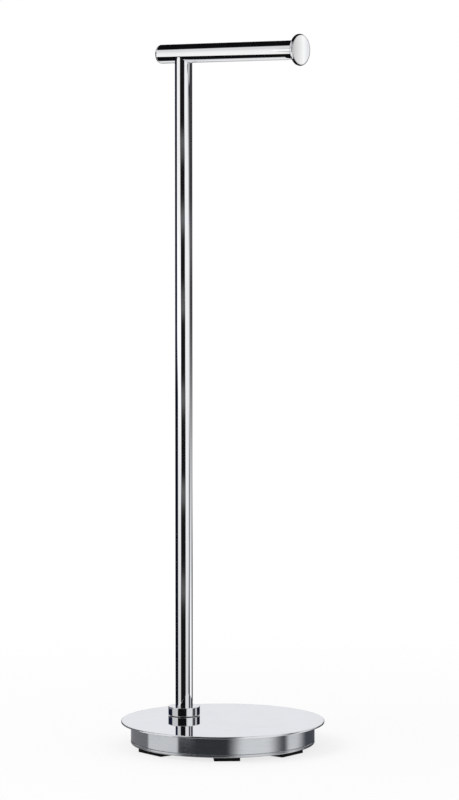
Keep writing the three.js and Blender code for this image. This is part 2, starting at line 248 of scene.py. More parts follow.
def ramp(tree, value, stops):
    made = node(tree, "ShaderNodeValToRGB", {"Fac": value})
    while len(made.color_ramp.elements) < len(stops):
        made.color_ramp.elements.new(0.5)
    for element, (place, tone) in zip(made.color_ramp.elements, stops):
        element.position = place
        element.color = (*tone, 1)
    return made.outputs[0]


def noise(tree, place, scale, detail, roughness=0.5):
    links = {"Vector": place, "Scale": scale, "Detail": detail, "Roughness": roughness}
    return node(tree, "ShaderNodeTexNoise", links).outputs[0]


def partsOf(tree, place):  # x, y and z of a vector
    return node(tree, "ShaderNodeSeparateXYZ", {0: place}).outputs


def objectPlace(tree):
    return node(tree, "ShaderNodeTexCoord").outputs["Object"]


def distanceOf(tree, place):
    return node(tree, "ShaderNodeVectorMath", {0: place}, operation="LENGTH").outputs["Value"]


def moved(tree, place, by):
    return node(tree, "ShaderNodeVectorMath", {0: place, 1: by}, operation="ADD").outputs[0]


def mixShaders(tree, factor, first, second):
    return node(tree, "ShaderNodeMixShader", {0: factor, 1: first, 2: second}).outputs[0]


def clearShader(tree):
    return node(tree, "ShaderNodeBsdfTransparent").outputs[0]


def twoSided(tree, front, back):  # one shader on the side that a sheet faces, another on its back
    return mixShaders(tree, node(tree, "ShaderNodeNewGeometry").outputs["Backfacing"], front, back)


def emptyTree(owner):  # of a material or a world
    owner.use_nodes = True
    owner.node_tree.nodes.clear()
    return owner.node_tree


def startGroup(name, inputs, outputs):
    tree = bpy.data.node_groups.new(name, "ShaderNodeTree")
    for socket, kind, value in inputs:
        made = tree.interface.new_socket(name=socket, in_out="INPUT", socket_type=kind)
        if value is not None:
            made.default_value = value
    for socket in outputs:
        tree.interface.new_socket(name=socket, in_out="OUTPUT", socket_type=number)
    return tree, tree.nodes.new("NodeGroupInput").outputs, tree.nodes.new("NodeGroupOutput").inputs


def useGroup(tree, group, **values):
    made = tree.nodes.new("ShaderNodeGroup")
    made.node_tree = group
    for socket, value in values.items():
        fill(tree, made.inputs[socket.replace("_", " ")], value)
    return made.outputs


def buildTurnedBrush():  # fine lines that run round an upright axis, on walls and on flat faces
    tree, given, result = startGroup(
        "turnedBrush",
        [("Vector", vector, None), ("Fineness", number, 900.0), ("Run", number, 1.5), ("Contrast", number, 1.0)],
        ["Streak", "Grain"])
    broad = {"scale": 1.0, "detail": 3.0, "roughness": 0.65}
    fine = {"scale": 3.7, "detail": 2.0, "roughness": 0.7}
    nearest = 0.4 * mm  # keeps the way round finite at the axis
    x, y, z = partsOf(tree, given["Vector"])
    squares = calc(tree, "ADD", calc(tree, "MULTIPLY", x, x), calc(tree, "MULTIPLY", y, y))
    reach = calc(tree, "MAXIMUM", calc(tree, "SQRT", squares), nearest)
    across = calc(tree, "MULTIPLY", calc(tree, "ADD", z, reach), given["Fineness"])
    east = calc(tree, "MULTIPLY", calc(tree, "DIVIDE", x, reach), given["Run"])
    north = calc(tree, "MULTIPLY", calc(tree, "DIVIDE", y, reach), given["Run"])
    lines = node(tree, "ShaderNodeCombineXYZ", {0: east, 1: north, 2: across}).outputs[0]
    half = calc(tree, "MULTIPLY", calc(tree, "SUBTRACT", noise(tree, lines, **broad), 0.5), given["Contrast"])
    fill(tree, result["Streak"], calc(tree, "ADD", half, 0.5))
    fill(tree, result["Grain"], noise(tree, lines, **fine))
    return tree


def buildPolishMarks():  # where a cloth and hands have been: soft haze and a few short wipes
    tree, given, result = startGroup(
        "polishMarks",
        [("Vector", vector, None), ("Size", number, 30.0), ("Wipes", number, 120.0)],
        ["Haze", "Wipe"])
    askew = {"Vector": given["Vector"], "Rotation": (0.5, 0.8, 0.35), "Scale": (1.0, 0.16, 0.5)}
    stretched = node(tree, "ShaderNodeMapping", askew).outputs[0]
    haze = noise(tree, given["Vector"], given["Size"], detail=4.0, roughness=0.62)
    wipe = noise(tree, stretched, given["Wipes"], detail=5.0, roughness=0.7)
    fill(tree, result["Haze"], rangeOf(tree, haze, 0.38, 0.72, 0.0, 1.0, "SMOOTHSTEP"))
    fill(tree, result["Wipe"], rangeOf(tree, wipe, 0.55, 0.78, 0.0, 1.0, "SMOOTHSTEP"))
    return tree


def buildFineDust():  # small light specks, thicker in some patches
    tree, given, result = startGroup(
        "fineDust",
        [("Vector", vector, None), ("Speck Scale", number, 900.0), ("Amount", number, 0.4)],
        ["Dust", "Mottle"])
    specks = noise(tree, given["Vector"], given["Speck Scale"], detail=3.0, roughness=0.75)
    patches = noise(tree, given["Vector"], scale=38.0, detail=3.0, roughness=0.6)
    dust = calc(tree, "MULTIPLY", rangeOf(tree, specks, 0.56, 0.8, 0.0, 1.0),
                rangeOf(tree, patches, 0.35, 0.7, 0.15, 1.0))
    fill(tree, result["Dust"], calc(tree, "MULTIPLY", dust, given["Amount"]))
    fill(tree, result["Mottle"], patches)
    return tree


def buildStudioCard():  # 1 inside a card's sides and ends, 0 outside, with soft borders
    places = [(socket, number, 0.0) for socket in ("Round", "Up", "From", "To", "Low", "High")]
    softness = [(socket, number, 2.0) for socket in ("From Softness", "To Softness", "End Softness")]
    tree, given, result = startGroup("studioCard", places + softness, ["Mask"])

    def step(value, border, soft, before, after):
        edge, width = given[border], given[soft]
        return rangeOf(tree, given[value], calc(tree, "SUBTRACT", edge, width), calc(tree, "ADD", edge, width),
                       before, after, "SMOOTHSTEP")

    sides = calc(tree, "MULTIPLY", step("Round", "From", "From Softness", 0.0, 1.0),
                 step("Round", "To", "To Softness", 1.0, 0.0))
    ends = calc(tree, "MULTIPLY", step("Up", "Low", "End Softness", 0.0, 1.0),
                step("Up", "High", "End Softness", 1.0, 0.0))
    fill(tree, result["Mask"], calc(tree, "MULTIPLY", sides, ends))
    return tree


turnedBrush = buildTurnedBrush()
polishMarks = buildPolishMarks()
fineDust = buildFineDust()
studioCard = buildStudioCard()


# Materials
def startMaterial(name, centre=(0, 0, 0), tilt=(0, 0, 0)):  # pattern centred on a piece and turned onto its axis
    material = bpy.data.materials.new(name)
    tree = emptyTree(material)
    shader = tree.nodes.new("ShaderNodeBsdfPrincipled")
    node(tree, "ShaderNodeOutputMaterial", {"Surface": shader.outputs[0]})
    place = moved(tree, objectPlace(tree), tuple(-part for part in centre))
    turned = node(tree, "ShaderNodeMapping", {"Vector": place, "Rotation": tilt}).outputs[0]
    return material, tree, shader, turned


def setShader(tree, shader, **values):
    for socket, value in values.items():
        fill(tree, shader.inputs[socket.replace("_", " ")], value)


def bump(tree, height, strength, depth):
    return node(tree, "ShaderNodeBump", {"Height": height, "Strength": strength, "Distance": depth}).outputs[0]


def chrome(name, centre=(0, 0, 0), tilt=(0, 0, 0), fineness=1500.0):
    look = {"tone": (0.862, 0.868, 0.882, 1), "worn": (0.80, 0.803, 0.812, 1), "wear": 0.45,
            "shade": 0.985, "clean": 0.018, "hazed": 0.045, "wiped": 0.02}
    material, tree, shader, place = startMaterial(name, centre, tilt)
    marks = useGroup(tree, polishMarks, Vector=place, Size=26.0, Wipes=150.0)
    lines = useGroup(tree, turnedBrush, Vector=place, Fineness=fineness, Run=2.0, Contrast=1.2)
    tone = blendColour(tree, calc(tree, "MULTIPLY", marks["Haze"], look["wear"]), look["tone"], look["worn"])
    shade = rangeOf(tree, lines["Streak"], 0.2, 0.8, look["shade"], 1.0)
    soft = rangeOf(tree, marks["Haze"], 0.0, 1.0, look["clean"], look["hazed"])
    rough = calc(tree, "ADD", soft, calc(tree, "MULTIPLY", marks["Wipe"], look["wiped"]))
    setShader(tree, shader, Metallic=1.0, Base_Color=shaded(tree, tone, shade), Roughness=rough)
    return material


def brushed(name, centre, fineness, low, high):  # low and high: roughness on and between the streaks
    look = {"tone": (0.60, 0.612, 0.625, 1), "dark": (0.504, 0.51408, 0.525, 1), "hazed": (0.5, 0.51, 0.53, 1),
            "haze": 0.12, "stretch": 0.5, "turn": 0.25, "grain": 0.5, "relief": 0.12, "depth": 0.05 * mm}
    material, tree, shader, place = startMaterial(name, centre)
    brush = useGroup(tree, turnedBrush, Vector=place, Fineness=fineness, Run=5.0, Contrast=1.6)
    marks = useGroup(tree, polishMarks, Vector=place, Size=20.0, Wipes=90.0)
    streaked = blendColour(tree, brush["Streak"], look["dark"], look["tone"])
    tone = blendColour(tree, calc(tree, "MULTIPLY", marks["Haze"], look["haze"]), streaked, look["hazed"])
    height = calc(tree, "ADD", brush["Streak"], calc(tree, "MULTIPLY", brush["Grain"], look["grain"]))
    setShader(tree, shader, Metallic=1.0, Base_Color=tone,
              Anisotropic=look["stretch"], Anisotropic_Rotation=look["turn"],
              Tangent=node(tree, "ShaderNodeTangent", direction_type="RADIAL", axis="Z").outputs[0],
              Roughness=rangeOf(tree, brush["Streak"], 0.1, 0.9, high, low),
              Normal=bump(tree, height, look["relief"], look["depth"]))
    return material


def zinc(name, centre=(0, 0, 0), tilt=(0, 0, 0)):
    look = {"blue": (0.56, 0.585, 0.63, 1), "yellow": (0.62, 0.60, 0.55, 1), "shade": 0.86,
            "smooth": 0.28, "rough": 0.42, "relief": 0.2, "depth": 0.05 * mm}
    material, tree, shader, place = startMaterial(name, centre, tilt)
    brush = useGroup(tree, turnedBrush, Vector=place, Fineness=2600.0, Run=2.0, Contrast=1.4)
    marks = useGroup(tree, polishMarks, Vector=place, Size=130.0, Wipes=300.0)
    tone = blendColour(tree, marks["Haze"], look["blue"], look["yellow"])
    shade = rangeOf(tree, brush["Streak"], 0.15, 0.85, look["shade"], 1.0)
    setShader(tree, shader, Metallic=1.0, Base_Color=shaded(tree, tone, shade),
              Roughness=rangeOf(tree, marks["Haze"], 0.0, 1.0, look["smooth"], look["rough"]),
              Normal=bump(tree, brush["Streak"], look["relief"], look["depth"]))
    return material


def rubber(name):
    look = {"deep": (0.0014, 0.0014, 0.0016, 1), "pale": (0.0036, 0.0036, 0.004, 1), "dust": (0.016, 0.015, 0.015, 1),
            "smooth": 0.62, "rough": 0.8, "sheen": 0.12, "relief": 0.25, "depth": 0.06 * mm}
    material, tree, shader, place = startMaterial(name)
    dust = useGroup(tree, fineDust, Vector=place, Speck_Scale=1500.0, Amount=0.25)
    grain = noise(tree, place, scale=2400.0, detail=2.0)
    tone = blendColour(tree, dust["Mottle"], look["deep"], look["pale"])
    setShader(tree, shader, Specular_IOR_Level=look["sheen"],
              Base_Color=blendColour(tree, dust["Dust"], tone, look["dust"]),
              Roughness=rangeOf(tree, dust["Mottle"], 0.3, 0.7, look["smooth"], look["rough"]),
              Normal=bump(tree, grain, look["relief"], look["depth"]))
    return material


def nylon(name, centre):
    look = {"deep": (0.008, 0.008, 0.0095, 1), "pale": (0.016, 0.016, 0.018, 1), "dust": (0.04, 0.04, 0.04, 1),
            "smooth": 0.34, "rough": 0.5, "relief": 0.15, "depth": 0.04 * mm}
    material, tree, shader, place = startMaterial(name, centre)
    lines = useGroup(tree, turnedBrush, Vector=place, Fineness=2200.0, Run=2.0, Contrast=1.0)
    dust = useGroup(tree, fineDust, Vector=place, Speck_Scale=1800.0, Amount=0.15)
    tone = blendColour(tree, lines["Streak"], look["deep"], look["pale"])
    setShader(tree, shader, Base_Color=blendColour(tree, dust["Dust"], tone, look["dust"]),
              Roughness=rangeOf(tree, lines["Streak"], 0.2, 0.8, look["smooth"], look["rough"]),
              Normal=bump(tree, lines["Streak"], look["relief"], look["depth"]))
    return material


def castPaint(name):
    look = {"deep": (0.022, 0.022, 0.024, 1), "pale": (0.042, 0.041, 0.041, 1), "dust": (0.11, 0.10, 0.09, 1),
            "smooth": 0.42, "rough": 0.62, "pitDepth": -0.6, "relief": 0.5, "depth": 0.15 * mm}
    material, tree, shader, place = startMaterial(name)
    dust = useGroup(tree, fineDust, Vector=place, Speck_Scale=700.0, Amount=0.5)
    sand = noise(tree, place, scale=620.0, detail=5.0, roughness=0.7)
    pits = node(tree, "ShaderNodeTexVoronoi", {"Vector": place, "Scale": 260.0}).outputs[0]
    tone = blendColour(tree, dust["Mottle"], look["deep"], look["pale"])
    height = calc(tree, "ADD", sand, rangeOf(tree, pits, 0.0, 0.25, look["pitDepth"], 0.0))
    setShader(tree, shader, Base_Color=blendColour(tree, dust["Dust"], tone, look["dust"]),
              Roughness=rangeOf(tree, sand, 0.3, 0.7, look["smooth"], look["rough"]),
              Normal=bump(tree, height, look["relief"], look["depth"]))
    return material


# Camera: degrees round from -Y, metres off and up, degrees turned down and right, focal length and height in pixels
shot = {"azimuth": 37.81, "away": 3.2916, "height": 0.5785, "down": 3.827, "right": 0.121, "focus": 3213.4, "tall": 800,
        "film": 36.0, "farthest": 60}


def setCamera():
    bpy.ops.object.camera_add(location=(0, 0, 0))
    camera = bpy.context.object
    camera.name = "shotCamera"
    a, yaw, pitch = radians(shot["azimuth"]), radians(shot["right"]), radians(shot["down"])
    level = Vector((-sin(a), cos(a), 0)) * cos(yaw) + Vector((cos(a), sin(a), 0)) * sin(yaw)
    ahead = level * cos(pitch) - Vector((0, 0, 1)) * sin(pitch)
    camera.location = (sin(a) * shot["away"], -cos(a) * shot["away"], shot["height"])
    camera.rotation_mode = "QUATERNION"
    camera.rotation_quaternion = ahead.to_track_quat("-Z", "Y")
    camera.data.sensor_width = shot["film"]
    camera.data.lens = shot["film"] * shot["focus"] / shot["tall"]
    camera.data.clip_end = shot["farthest"]
    bpy.context.scene.camera = camera
    bpy.context.scene.view_settings.view_transform = "Standard"
    say("camera set")


# Studio: floor, lamp, and light and dark cards, which only metal shows
white = (1, 1, 1, 1)
blackCloth = (0.005, 0.005, 0.006, 1)
cameraBlack = (0.01, 0.009, 0.01)
sky = {
    "front": 38.0,  # the card angles are counted from here, which is where the camera stands
    "plain": 0.8,  # what matt surfaces get
    "tint": (0.985, 0.99, 1.0),
    # light by elevation, from straight down to straight up
    "light": [(-90, 0.3), (-68, 0.35), (-56, 0.88), (-40, 0.95), (-24, 0.9), (-14, 0.72), (-9, 0.76), (-7, 0.92),
              (-5, 0.99), (0, 1.03), (5, 0.98), (9, 0.68), (13, 0.72), (20, 0.84), (45, 0.78), (90, 0.8)],
    # each card: angles round, elevations, softness of its two sides and of its ends, tone
    # later cards lie over earlier ones
    "cards": {
        "leftBright": ((-105, -36), (-4, 6), (3, 3, 1.5), (1.24, 1.24, 1.25)),
        "rightScreenHigh": ((65, 200), (0.8, 13), (20, 4, 1), (0.05, 0.046, 0.05)),
        "rightScreenMiddle": ((73, 200), (-0.8, 2), (18, 4, 0.7), (0.05, 0.046, 0.05)),
        "rightScreen": ((81, 200), (-5.0, 1), (17, 4, 3.2), (0.05, 0.046, 0.05)),
        "rightEndHigh": ((105, 172), (6.5, 13), (2, 2, 0.8), (0.01, 0.012, 0.024)),
        "rightGap": ((89, 108), (6.5, 14), (2, 2, 0.8), (0.6, 0.6, 0.61)),
        "rightStandHigh": ((70.5, 85), (7.5, 14), (2, 2, 0.8), (0.04, 0.044, 0.065)),
        "rightGlow": ((24, 62), (7, 14), (8, 5, 1), (0.88, 0.88, 0.89)),
        "rightShade": ((58, 76), (-14, -7.4), (4, 4, 0.8), (0.38, 0.39, 0.43)),
        "rightStand": ((69.5, 84), (-14, -4.4), (2, 2, 1), (0.045, 0.05, 0.07)),
        "rightStandLow": ((60.5, 84), (-14, -8.6), (2, 2, 0.6), (0.03, 0.034, 0.05)),
        "rightBright": ((87, 112), (-14, -7.4), (2, 4, 0.9), (1.15, 1.15, 1.16)),
        "rightEnd": ((124, 200), (-40, -5.8), (5, 4, 1.2), (0.012, 0.014, 0.022)),
        "leftScreenHigh": ((-152, -89), (34, 60), (4, 2, 2), (0.005, 0.005, 0.006)),
        "leftScreen": ((-200, -96), (-14, 16), (2, 3, 2), (0.010, 0.013, 0.033)),
        "leftScreenLow": ((-200, -84), (-14, -3.2), (2, 3, 0.6), (0.005, 0.006, 0.013)),
        "lowLeftScreen": ((-136, -77), (-66, -20), (3, 3, 5), (0.005, 0.005, 0.006)),
        "cameraScreenTop": ((-47, 18), (4.5, 12), (2, 2, 0.8), (0.006, 0.006, 0.007)),
        "cameraScreen1": ((-51, 12), (0.6, 5), (3, 3, 0.5), cameraBlack),
        "cameraScreen2": ((-45.5, 15), (-0.7, 0.8), (3, 3, 0.5), cameraBlack),
        "cameraScreen3": ((-40, 17), (-2.2, -0.5), (3, 3, 0.5), cameraBlack),
        "cameraScreen4": ((-37.5, 20.5), (-3.9, -2), (3, 3, 0.5), cameraBlack),
        "cameraScreen5": ((-35, 23), (-5.6, -3.7), (3, 3, 0.5), cameraBlack),
        "cameraScreen6": ((-40, 23.5), (-7.3, -5.4), (3, 3, 0.5), cameraBlack),
        "cameraScreen7": ((-43, 22.5), (-12.5, -7.1), (3, 3, 0.5), cameraBlack),
        "leftScreenDeep": ((-174, -105), (-34, -12), (2, 2, 2), (0.008, 0.008, 0.01)),
        "ceiling": ((-200, 200), (64, 95), (1, 1, 4), (0.014, 0.014, 0.016)),
        "cameraScreenUp": ((-43, 15), (10.5, 95), (4, 4, 1.5), (0.012, 0.012, 0.014)),
        "cameraGap": ((-60, 40), (15.5, 38), (10, 10, 1.5), (0.42, 0.42, 0.44)),
        "backGapLeft": ((-200, -176), (7.5, 12), (2, 1.5, 1), (0.84, 0.85, 0.88)),
        "backGapRight": ((176, 200), (7.5, 12), (1.5, 2, 1), (0.84, 0.85, 0.88)),
    },
}


def paintCards(tree, way, up, colour, cards):  # lays cards over a colour, by the way a direction or a place points
    turnRight = calc(tree, "DEGREES", calc(tree, "ARCTAN2", way[0], calc(tree, "MULTIPLY", way[1], -1.0)))
    angle = calc(tree, "WRAP", calc(tree, "SUBTRACT", turnRight, sky["front"]), 180.0, -180.0)
    for (first, last), (low, high), soft, tone in cards.values():
        mask = useGroup(tree, studioCard, Round=angle, Up=up, From=first, To=last, Low=low, High=high,
                        From_Softness=soft[0], To_Softness=soft[1], End_Softness=soft[-1])["Mask"]
        colour = blendColour(tree, mask, colour, (*tone, 1))
    return colour


def buildSky():
    world = bpy.data.worlds.new("studioSky")
    bpy.context.scene.world = world
    tree = emptyTree(world)
    world.cycles.sampling_method = "NONE"
    way = partsOf(tree, node(tree, "ShaderNodeTexCoord").outputs["Generated"])
    up = calc(tree, "DEGREES", calc(tree, "ARCSINE", way[2]))
    lights = [((height + 90) / 180, [tone * part for part in sky["tint"]]) for height, tone in sky["light"]]
    colour = ramp(tree, rangeOf(tree, up, -90.0, 90.0, 0.0, 1.0), lights)
    colour = paintCards(tree, way, up, colour, sky["cards"])
    path = node(tree, "ShaderNodeLightPath").outputs
    mirrored = node(tree, "ShaderNodeBackground", {"Color": colour, "Strength": 1.0}).outputs[0]
    matt = node(tree, "ShaderNodeBackground", {"Color": white, "Strength": sky["plain"]}).outputs[0]
    plain = node(tree, "ShaderNodeBackground", {"Color": white, "Strength": 1.0}).outputs[0]
    seenInMetal = mixShaders(tree, path["Is Glossy Ray"], matt, mirrored)
    throughGlass = mixShaders(tree, path["Is Transmission Ray"], seenInMetal, plain)
    shown = mixShaders(tree, path["Is Camera Ray"], throughGlass, plain)
    node(tree, "ShaderNodeOutputWorld", {"Surface": shown})
    say("sky set")


floorSheet = {"radius": 9.0, "below": 0.02 * mm, "tone": (0.93, 0.93, 0.935, 1), "fadeFrom": 0.05, "fadeTo": 1.0,
              "glow": 0.74, "sides": 96}


def buildFloor():
    dropSelection()
    bpy.ops.mesh.primitive_circle_add(vertices=floorSheet["sides"], radius=floorSheet["radius"], fill_type="NGON",
                                      location=(0, 0, -floorSheet["below"]))
    piece = newest("floorSheet")
    material = bpy.data.materials.new("paperFloor")
    tree = emptyTree(material)
    reach = distanceOf(tree, objectPlace(tree))
    far = rangeOf(tree, reach, floorSheet["fadeFrom"], floorSheet["fadeTo"], floorSheet["glow"], 1.0, "SMOOTHSTEP")
    paper = node(tree, "ShaderNodeBsdfDiffuse", {"Color": floorSheet["tone"]}).outputs[0]
    glow = node(tree, "ShaderNodeEmission", {"Color": white, "Strength": 1.0}).outputs[0]
    sheet = twoSided(tree, mixShaders(tree, far, paper, glow), clearShader(tree))
    node(tree, "ShaderNodeOutputMaterial", {"Surface": sheet})
    piece.data.materials.append(material)
    piece.visible_glossy = False
    dropSelection()
    say("floor laid")


def startGlow(name):
    material = bpy.data.materials.new(name)
    tree = emptyTree(material)
    return material, tree, tree.nodes.new("ShaderNodeEmission")


def onlyMirrored(piece, material, shader):  # the finished card is seen in metal and by nothing else
    node(material.node_tree, "ShaderNodeOutputMaterial", {"Surface": shader})
    piece.data.materials.append(material)
    piece.visible_camera = piece.visible_diffuse = piece.visible_shadow = False
    piece.visible_transmission = piece.visible_volume_scatter = False


# low rings of cards round the base: the wide one, for the drum, is clear to what stands further off than the drum,
# and the close one is for the plate's rim
anyHeight = (-100, 100)
rings = [
    {"name": "drumRing", "radius": 0.3, "height": (-0.26, -0.004), "reach": 0.289, "sides": 120,
     "light": (0.93, 0.94, 0.96, 1), "cards": {
        "greyLeft": ((-200, -92.2), anyHeight, (2, 0.7), (0.25, 0.25, 0.265)),
        "leftEdge": ((-200, -152), anyHeight, (2, 8), (0.6, 0.62, 0.66)),
        "blackFront": ((-49, 4), anyHeight, (0.7, 4), (0.052, 0.055, 0.063)),
        "blackFrontEdge": ((-20, 12.5), anyHeight, (4, 10), (0.052, 0.055, 0.063)),
        "brightRight": ((20, 50), anyHeight, (8, 8), (1.04, 1.05, 1.07)),
        "greyStand": ((59, 75), anyHeight, (11, 4.5), (0.12, 0.125, 0.14)),
        "greyRight": ((100, 200), anyHeight, (13, 2), (0.09, 0.095, 0.115)),
        "rightEdge": ((152, 200), anyHeight, (8, 2), (0.55, 0.57, 0.6)),
    }},
    {"name": "rimRing", "radius": 0.125, "height": (0.0205, 0.0236), "reach": 1.0, "sides": 120,
     "light": (0.72, 0.72, 0.74, 1), "cards": {
        "rimLeft": ((-200, -61), anyHeight, (2, 0.7), (0.02, 0.021, 0.03)),
        "rimFront": ((-30.3, 9.6), anyHeight, (0.8, 3), (0.006, 0.007, 0.009)),
        "rimStand": ((46, 57), anyHeight, (3, 3), (0.05, 0.055, 0.07)),
        "rimRight": ((84, 200), anyHeight, (3, 2), (0.03, 0.032, 0.045)),
    }},
]


def hangRing(ring):
    low, high = ring["height"]
    piece = turn(ring["name"], [(ring["radius"], low), (ring["radius"], high)], ring["sides"])
    material, tree, light = startGlow(ring["name"] + "Cloth")
    paper = node(tree, "ShaderNodeRGB").outputs[0]
    paper.default_value = ring["light"]
    fill(tree, light.inputs["Color"], paintCards(tree, partsOf(tree, objectPlace(tree)), 0.0, paper, ring["cards"]))
    tooFar = calc(tree, "GREATER_THAN", node(tree, "ShaderNodeLightPath").outputs["Ray Length"], ring["reach"])
    onlyMirrored(piece, material, mixShaders(tree, tooFar, light.outputs[0], clearShader(tree)))


armCard = {
    "y": -0.225, "left": (-0.31, 0.572, 0.829), "right": (-0.09, 0.468, 0.87),  # x, foot and top of its two sides
    "shadeFrom": 0.5, "shadeTo": 0.85,  # heights that the shade up the card starts and ends at
    "shade": [(0.0, (1.08, 1.07, 1.06)), (0.56, (1.04, 1.03, 1.03)), (0.76, (0.95, 0.94, 0.94)),
              (0.96, (0.78, 0.77, 0.775))],
}


def hangArmCard():  # a light card before the arm
    dropSelection()
    bpy.ops.mesh.primitive_plane_add(size=2.0, location=(0, 0, 0))
    piece = newest("armCard")

    def corner(old):
        x, foot, top = armCard["left"] if old.x < 0 else armCard["right"]
        return x, armCard["y"], foot if old.y < 0 else top

    moveCorners(piece, corner)
    material, tree, light = startGlow("armPaper")
    up = partsOf(tree, objectPlace(tree))[2]
    along = rangeOf(tree, up, armCard["shadeFrom"], armCard["shadeTo"], 0.0, 1.0)
    fill(tree, light.inputs["Color"], ramp(tree, along, armCard["shade"]))
    onlyMirrored(piece, material, light.outputs[0])


# black boards: behind and over the arm for its dark top edge, beside its rear cap, and over and under the end disc
boards = [
    {"name": "boardBehind", "middle": (-0.25, 0.25, 0.898), "size": (0.36, 0.25), "tilt": 90},
    {"name": "boardAbove", "middle": (-0.27, 0.17, 1.0135), "size": (0.32, 0.24), "tilt": 0},
    {"name": "boardBeside", "middle": (-0.4375, -0.222, 0.7585), "size": (0.325, 0.073), "tilt": 90},
    {"name": "hoodAbove", "middle": (0.1475, 0.0315, 0.7735), "size": (0.205, 0.157), "tilt": 180, "clearBack": True},
    {"name": "hoodBelow", "middle": (0.1475, 0.036, 0.6535), "size": (0.205, 0.148), "tilt": 0, "clearBack": True},
]


def hangBoard(board):
    dropSelection()
    bpy.ops.mesh.primitive_plane_add(size=1.0, location=board["middle"], rotation=(radians(board["tilt"]), 0, 0))
    piece = newest(board["name"])
    piece.scale = (*board["size"], 1)
    material, tree, light = startGlow(board["name"] + "Cloth")
    fill(tree, light.inputs["Color"], blackCloth)
    shader = light.outputs[0]
    if board.get("clearBack"):
        shader = twoSided(tree, shader, clearShader(tree))
    onlyMirrored(piece, material, shader)


discCard = {
    "azimuth": 142, "rise": 0.035, "from": (100 * mm, 0, post["armAxis"]), "away": 0.13,  # its way out from the disc
    "size": 0.084, "window": 0.0335, "soft": 0.0022, "offset": (0.0015, -0.004, 0), "dark": (0.035, 0.038, 0.05, 1),
    "shadeReach": 0.03,  # the shade across the window runs this far to both sides
    "shade": [(0.0, (0.52, 0.515, 0.51)), (0.25, (0.76, 0.755, 0.75)), (0.5, (0.95, 0.945, 0.94)),
              (0.68, (1.1, 1.1, 1.09)), (0.9, (0.9, 0.91, 0.93))],
}


def hangDiscCard():  # a dark board with a round lit window in front of the end disc, clear from its far side
    azimuth = radians(discCard["azimuth"])
    out = Vector((sin(azimuth), -cos(azimuth), discCard["rise"])).normalized()
    dropSelection()
    bpy.ops.mesh.primitive_plane_add(size=discCard["size"], location=Vector(discCard["from"]) + out * discCard["away"])
    piece = newest("discCard")
    piece.rotation_mode = "QUATERNION"
    piece.rotation_quaternion = out.to_track_quat("Z", "Y")
    material, tree, light = startGlow("discPaper")
    local = objectPlace(tree)
    reach = distanceOf(tree, moved(tree, local, discCard["offset"]))
    far = discCard["shadeReach"]
    shade = ramp(tree, rangeOf(tree, partsOf(tree, local)[0], -far, far, 0.0, 1.0), discCard["shade"])
    edge, soft = discCard["window"], discCard["soft"]
    outside = rangeOf(tree, reach, edge - soft, edge + soft, 0.0, 1.0, "SMOOTHSTEP")
    fill(tree, light.inputs["Color"], blendColour(tree, outside, shade, discCard["dark"]))
    onlyMirrored(piece, material, twoSided(tree, clearShader(tree), light.outputs[0]))


def hangCards():
    for ring in rings:
        hangRing(ring)
    hangArmCard()
    for board in boards:
        hangBoard(board)
    hangDiscCard()
    dropSelection()
    say("cards hung")


softLamp = {"place": (-1.3, -2.1, 2.6), "aim": (0, 0, 0.3), "size": 1.8, "power": 34.0}


def setLamp():
    bpy.ops.object.light_add(type="AREA", location=softLamp["place"])
    lamp = bpy.context.object
    lamp.name = "softLamp"
    lamp.data.size = softLamp["size"]
    lamp.data.energy = softLamp["power"]
    lamp.rotation_mode = "QUATERNION"
    lamp.rotation_quaternion = (Vector(softLamp["aim"]) - Vector(softLamp["place"])).to_track_quat("-Z", "Y")
    lamp.visible_glossy = False
    dropSelection()
    say("lamp set")


# The base. A hold is a narrow band beside an edge, which keeps the edge's shading off the wide faces.
past = 1 * mm  # how far a cutter stands out of the plate that it cuts
topPlate = {"radius": 105 * mm, "low": 25 * mm, "high": 27 * mm, "edge": 0.5 * mm, "edgeSteps": 6, "hold": 0.3 * mm,
            "sides": 256}


def buildTopPlate():
    dropSelection()
    low, high = topPlate["low"], topPlate["high"]
    bpy.ops.mesh.primitive_cylinder_add(vertices=topPlate["sides"], radius=topPlate["radius"], depth=high - low,
                                        location=(0, 0, (low + high) / 2))
    piece = newest("topPlate")
    work(piece)
    bakePlace()
    work(piece, "EDIT")
    pick(piece, "EDGE", isLevel)
    roundEdges(topPlate["edge"], topPlate["edgeSteps"])
    for side in (1, -1):
        pick(piece, "FACE", lambda middle, normal: normal.z * side > 0.9999 and middle.xy.length < 1 * mm)
        bpy.ops.mesh.inset(thickness=topPlate["hold"])
    combine(piece, drill("rodDrill", rodHole, low - past, high + past, (post["x"], 0, 0)))
    shine = chrome("plateChrome", (0, 0, (low + high) / 2), fineness=700.0)
    finishPiece(piece, "base", shine, ["base_top_plate"])


# groove: the fine dark line round the drum's foot, its depth and its heights at the back and at the front
drumSkirt = {"radius": 95 * mm, "wall": 1.5 * mm, "low": 7 * mm, "high": 25 * mm, "chamfer": 0.2 * mm,
             "hold": 0.35 * mm, "groove": 0.9 * mm, "grooveBack": 0.3 * mm, "grooveFront": 0.4 * mm, "sides": 256}


def buildSkirt():
    out, cut, hold, groove = (drumSkirt[key] for key in ("radius", "chamfer", "hold", "groove"))
    low, high = drumSkirt["low"], drumSkirt["high"]
    inner, foot = out - drumSkirt["wall"], low + drumSkirt["grooveFront"]
    outline = [(inner, low), (out - groove, low), (out - groove, low + drumSkirt["grooveBack"]), (out - cut, foot),
               (out, foot + cut), (out, foot + cut + hold), (out, high - cut - hold), (out, high - cut),
               (out - cut, high), (inner, high), (inner, low)]
    piece = turn("drumSkirt", outline, drumSkirt["sides"])
    steel = brushed("skirtSteel", (0, 0, 16 * mm), fineness=1500.0, low=0.1, high=0.15)
    finishPiece(piece, "base", steel, ["base_skirt"], smooth=25)


